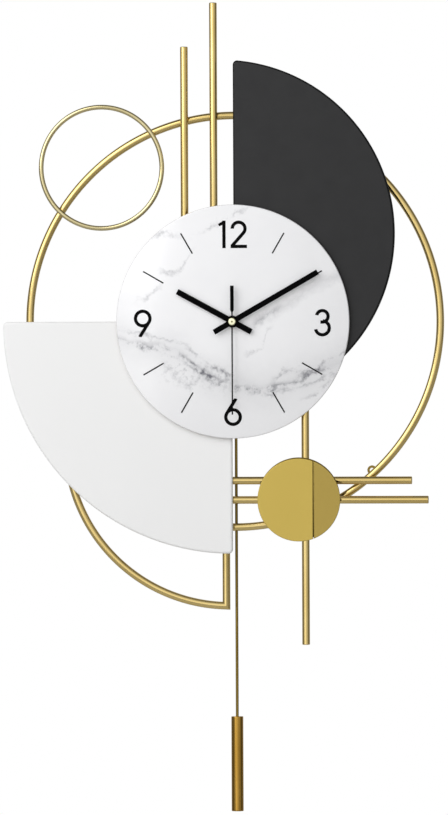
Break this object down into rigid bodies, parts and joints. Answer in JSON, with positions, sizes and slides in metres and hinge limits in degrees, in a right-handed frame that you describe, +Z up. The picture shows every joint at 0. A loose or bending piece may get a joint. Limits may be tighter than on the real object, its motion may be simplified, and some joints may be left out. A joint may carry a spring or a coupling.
{
  "type": "pendulum wall clock",
  "caption": "Round marble-pattern dial on a gold rod frame of rings and bars, with a white quarter panel, a dark curved panel, a gold disc and a slim swinging pendulum.",
  "frame": {"origin": "centre of the keyhole's round opening, on the wall plane behind the dial", "axes": "+Z up, +Y into the wall, so the clock stands in front of the wall at negative Y; +X to the viewer's right"},
  "size_m": [0.4552, 0.0552, 0.8357],
  "materials": {
    "gilt_tube": "gold-coloured electroplate on bent iron bar, satin to polished",
    "gilt_disc": "polished gold-coloured sheet",
    "gilt_bob": "polished gold-coloured bar",
    "white_lacquer": "satin white lacquer on fibreboard",
    "black_lacquer": "matt charcoal lacquer on fibreboard",
    "dial_board": "raw fibreboard with a sealed edge",
    "marble_face": "clear-coated grey-veined marble print",
    "black_ink": "printed ink",
    "hand_black": "black lacquered sheet",
    "cap_brass": "pale brass",
    "movement_plastic": "fine spark-eroded black moulding",
    "brass": "turned brass",
    "rubber": "soft rubber",
    "gear_plastic": "white acetal",
    "zinc_steel": "zinc-plated sheet",
    "spring_steel": "nickel-plated strip",
    "soft_iron": "stamped soft iron",
    "copper_wire": "enamelled copper winding",
    "circuit_green": "solder mask",
    "magnet_grey": "sintered ferrite",
    "bright_can": "nickel-plated can",
    "battery_wrap": "plain printed sleeve"
  },
  "bodies": {
    "frame": {"large_ring": "gilt_tube", "small_ring": "gilt_tube", "long_rod": "gilt_tube", "short_rod": "gilt_tube", "lower_rod": "gilt_tube", "upper_cross_rod": "gilt_tube", "lower_cross_rod": "gilt_tube", "quadrant_arc": "gilt_tube", "quadrant_leg": "gilt_tube", "quadrant_bar": "gilt_tube", "gold_disc_backing": "gilt_disc", "gold_disc_left": "gilt_disc", "gold_disc_right": "gilt_disc", "white_panel": "white_lacquer", "black_panel": "black_lacquer", "dial_board": "dial_board", "dial_face": "marble_face", "numerals": "black_ink", "hour_marks": "black_ink", "hub_plate": "zinc_steel", "hanger_bracket": "zinc_steel", "standoff_posts": "gilt_tube", "panel_screws": "zinc_steel", "wall_pads": "rubber", "ring_eyelet": "gilt_tube", "movement_case": "movement_plastic", "movement_cover": "movement_plastic", "threaded_bush": "brass", "hex_nut": "brass", "rubber_washer": "rubber", "bearing_plate": "gear_plastic", "stator": "soft_iron", "motor_coil": "copper_wire", "circuit_board": "circuit_green", "crystal": "bright_can", "battery": "battery_wrap", "battery_contacts": "spring_steel", "drive_case": "movement_plastic", "drive_cover": "movement_plastic", "drive_coil": "copper_wire", "drive_board": "circuit_green", "drive_battery": "battery_wrap", "pivot_pin": "spring_steel"},
    "hour_body": {"hour_wheel": "gear_plastic", "hour_hand": "hand_black"},
    "minute_body": {"minute_wheel": "gear_plastic", "minute_hand": "hand_black"},
    "seconds_body": {"seconds_wheel": "gear_plastic", "second_hand": "hand_black", "centre_cap": "cap_brass"},
    "motion_body": {"motion_wheel": "gear_plastic"},
    "third_body": {"third_wheel": "gear_plastic"},
    "fourth_body": {"fourth_wheel": "gear_plastic"},
    "rotor_body": {"rotor": "magnet_grey"},
    "knob_body": {"setting_knob": "gear_plastic"},
    "pendulum_body": {"swing_arm": "gear_plastic", "drive_magnet": "magnet_grey", "pendulum_rod": "gilt_tube", "pendulum_bob": "gilt_bob"}
  },
  "joints": [
    {"name": "minute_turn", "type": "hinge", "parent": "frame", "child": "minute_body", "pos_m": [0, -0.034, -0.056], "axis": [0, 1, 0], "continuous": true},
    {"name": "hour_turn", "type": "hinge", "parent": "frame", "child": "hour_body", "pos_m": [0, -0.037, -0.056], "axis": [0, 1, 0], "continuous": true},
    {"name": "seconds_turn", "type": "hinge", "parent": "frame", "child": "seconds_body", "pos_m": [0, -0.03, -0.056], "axis": [0, 1, 0], "continuous": true},
    {"name": "motion_turn", "type": "hinge", "parent": "frame", "child": "motion_body", "pos_m": [-0.00655, -0.036, -0.06059], "axis": [0, 1, 0], "continuous": true},
    {"name": "third_turn", "type": "hinge", "parent": "frame", "child": "third_body", "pos_m": [-0.0051, -0.032, -0.04717], "axis": [0, 1, 0], "continuous": true},
    {"name": "fourth_turn", "type": "hinge", "parent": "frame", "child": "fourth_body", "pos_m": [0.00735, -0.028, -0.04983], "axis": [0, 1, 0], "continuous": true},
    {"name": "rotor_turn", "type": "hinge", "parent": "frame", "child": "rotor_body", "pos_m": [0.01085, -0.026, -0.04377], "axis": [0, 1, 0], "continuous": true},
    {"name": "knob_turn", "type": "hinge", "parent": "frame", "child": "knob_body", "pos_m": [-0.01449, -0.03, -0.06156], "axis": [0, 1, 0], "continuous": true},
    {"name": "pendulum_swing", "type": "hinge", "parent": "frame", "child": "pendulum_body", "pos_m": [0, -0.01, -0.096], "axis": [0, 1, 0], "range_deg": [-6, 6]}
  ],
  "couplings": [
    {"joint": "hour_turn", "follows": "minute_turn", "ratio": 0.083333},
    {"joint": "seconds_turn", "follows": "minute_turn", "ratio": 60},
    {"joint": "motion_turn", "follows": "minute_turn", "ratio": -0.33333},
    {"joint": "third_turn", "follows": "minute_turn", "ratio": -8},
    {"joint": "fourth_turn", "follows": "minute_turn", "ratio": -300},
    {"joint": "rotor_turn", "follows": "minute_turn", "ratio": 1800},
    {"joint": "knob_turn", "follows": "minute_turn", "ratio": 1}
  ]
}
